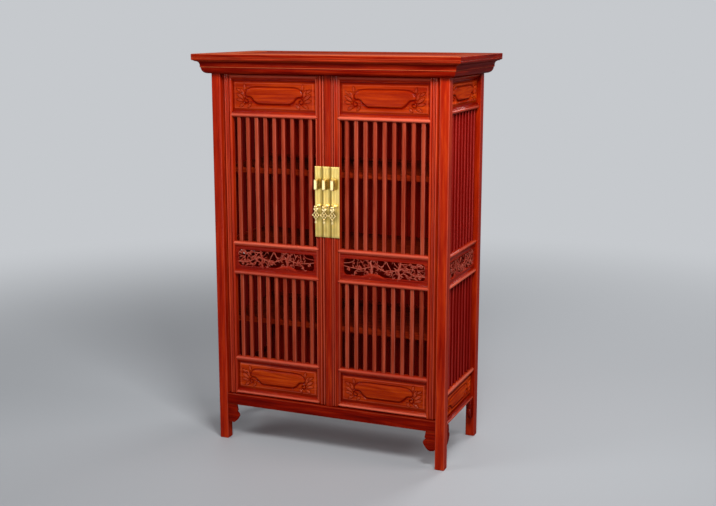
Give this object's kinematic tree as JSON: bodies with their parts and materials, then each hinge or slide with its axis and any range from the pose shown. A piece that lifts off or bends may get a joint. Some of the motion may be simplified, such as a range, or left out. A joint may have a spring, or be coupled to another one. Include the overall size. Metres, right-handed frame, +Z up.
{
  "type": "lattice cabinet",
  "caption": "Tall two-door cabinet with barred doors and sides, a moulded cornice, carved and pierced panels, inner shelves and a removable centre post for a lock bar.",
  "frame": {"origin": "on the floor, at the middle of the cabinet's plan", "axes": "+X to the cabinet's right as seen from the front, +Y to the back, +Z up; the doors face -Y"},
  "size_m": [1.141, 0.585, 1.65],
  "materials": {
    "lacquered_frame": "glossy clear-lacquered rosewood",
    "lacquered_panel": "glossy lacquered rosewood, carved",
    "inner_boards": "satin lacquered boards",
    "polished_brass": "polished, pale"
  },
  "bodies": {
    "case": {"front_left_post": "lacquered_frame", "front_right_post": "lacquered_frame", "back_left_post": "lacquered_frame", "back_right_post": "lacquered_frame", "front_sill_rail": "lacquered_frame", "back_rails": "lacquered_frame", "back_panels": "inner_boards", "leg_brackets": "lacquered_frame", "upper_shelf": "inner_boards", "middle_shelf": "inner_boards", "lower_shelf": "inner_boards", "case_floor": "inner_boards", "shelf_bearers": "inner_boards", "front_cornice": "lacquered_frame", "back_cornice": "lacquered_frame", "left_cornice": "lacquered_frame", "right_cornice": "lacquered_frame", "top_panel": "lacquered_panel", "top_battens": "inner_boards", "left_side_lower_rails": "lacquered_frame", "left_side_middle_rails": "lacquered_frame", "left_side_upper_rails": "lacquered_frame", "left_side_bars": "lacquered_frame", "left_side_carved_panels": "lacquered_panel", "left_side_openwork": "lacquered_panel", "right_side_lower_rails": "lacquered_frame", "right_side_middle_rails": "lacquered_frame", "right_side_upper_rails": "lacquered_frame", "right_side_bars": "lacquered_frame", "right_side_carved_panels": "lacquered_panel", "right_side_openwork": "lacquered_panel"},
    "left_door": {"left_door_outer_stile": "lacquered_frame", "left_door_inner_stile": "lacquered_frame", "left_door_lower_rails": "lacquered_frame", "left_door_middle_rails": "lacquered_frame", "left_door_upper_rails": "lacquered_frame", "left_door_bars": "lacquered_frame", "left_door_carved_panels": "lacquered_panel", "left_door_openwork": "lacquered_panel", "left_face_plate": "polished_brass", "left_lock_lug": "polished_brass", "left_pendant_staple": "polished_brass"},
    "right_door": {"right_door_outer_stile": "lacquered_frame", "right_door_inner_stile": "lacquered_frame", "right_door_lower_rails": "lacquered_frame", "right_door_middle_rails": "lacquered_frame", "right_door_upper_rails": "lacquered_frame", "right_door_bars": "lacquered_frame", "right_door_carved_panels": "lacquered_panel", "right_door_openwork": "lacquered_panel", "right_face_plate": "polished_brass", "right_lock_lug": "polished_brass", "right_pendant_staple": "polished_brass"},
    "centre_post": {"centre_post": "lacquered_frame", "centre_face_plate": "polished_brass", "centre_lock_lug": "polished_brass", "centre_pendant_staple": "polished_brass"},
    "left_pendant": {"left_pendant": "polished_brass"},
    "right_pendant": {"right_pendant": "polished_brass"},
    "centre_pendant": {"centre_pendant": "polished_brass"}
  },
  "joints": [
    {"name": "left_door_hinge", "type": "hinge", "parent": "case", "child": "left_door", "pos_m": [-0.462, -0.2145, 0.9], "axis": [0, 0, -1], "range_deg": [0, 90]},
    {"name": "right_door_hinge", "type": "hinge", "parent": "case", "child": "right_door", "pos_m": [0.462, -0.2145, 0.9], "axis": [0, 0, 1], "range_deg": [0, 90]},
    {"name": "centre_post_lift", "type": "slide", "parent": "case", "child": "centre_post", "axis": [0, 0, 1], "range_m": [0, 0.012]},
    {"name": "left_pendant_swing", "type": "hinge", "parent": "left_door", "child": "left_pendant", "pos_m": [-0.036, -0.2565, 1.05], "axis": [-1, 0, 0], "range_deg": [-20, 85]},
    {"name": "centre_pendant_swing", "type": "hinge", "parent": "centre_post", "child": "centre_pendant", "pos_m": [0, -0.2565, 1.05], "axis": [-1, 0, 0], "range_deg": [-20, 85]},
    {"name": "right_pendant_swing", "type": "hinge", "parent": "right_door", "child": "right_pendant", "pos_m": [0.036, -0.2565, 1.05], "axis": [-1, 0, 0], "range_deg": [-20, 85]}
  ]
}
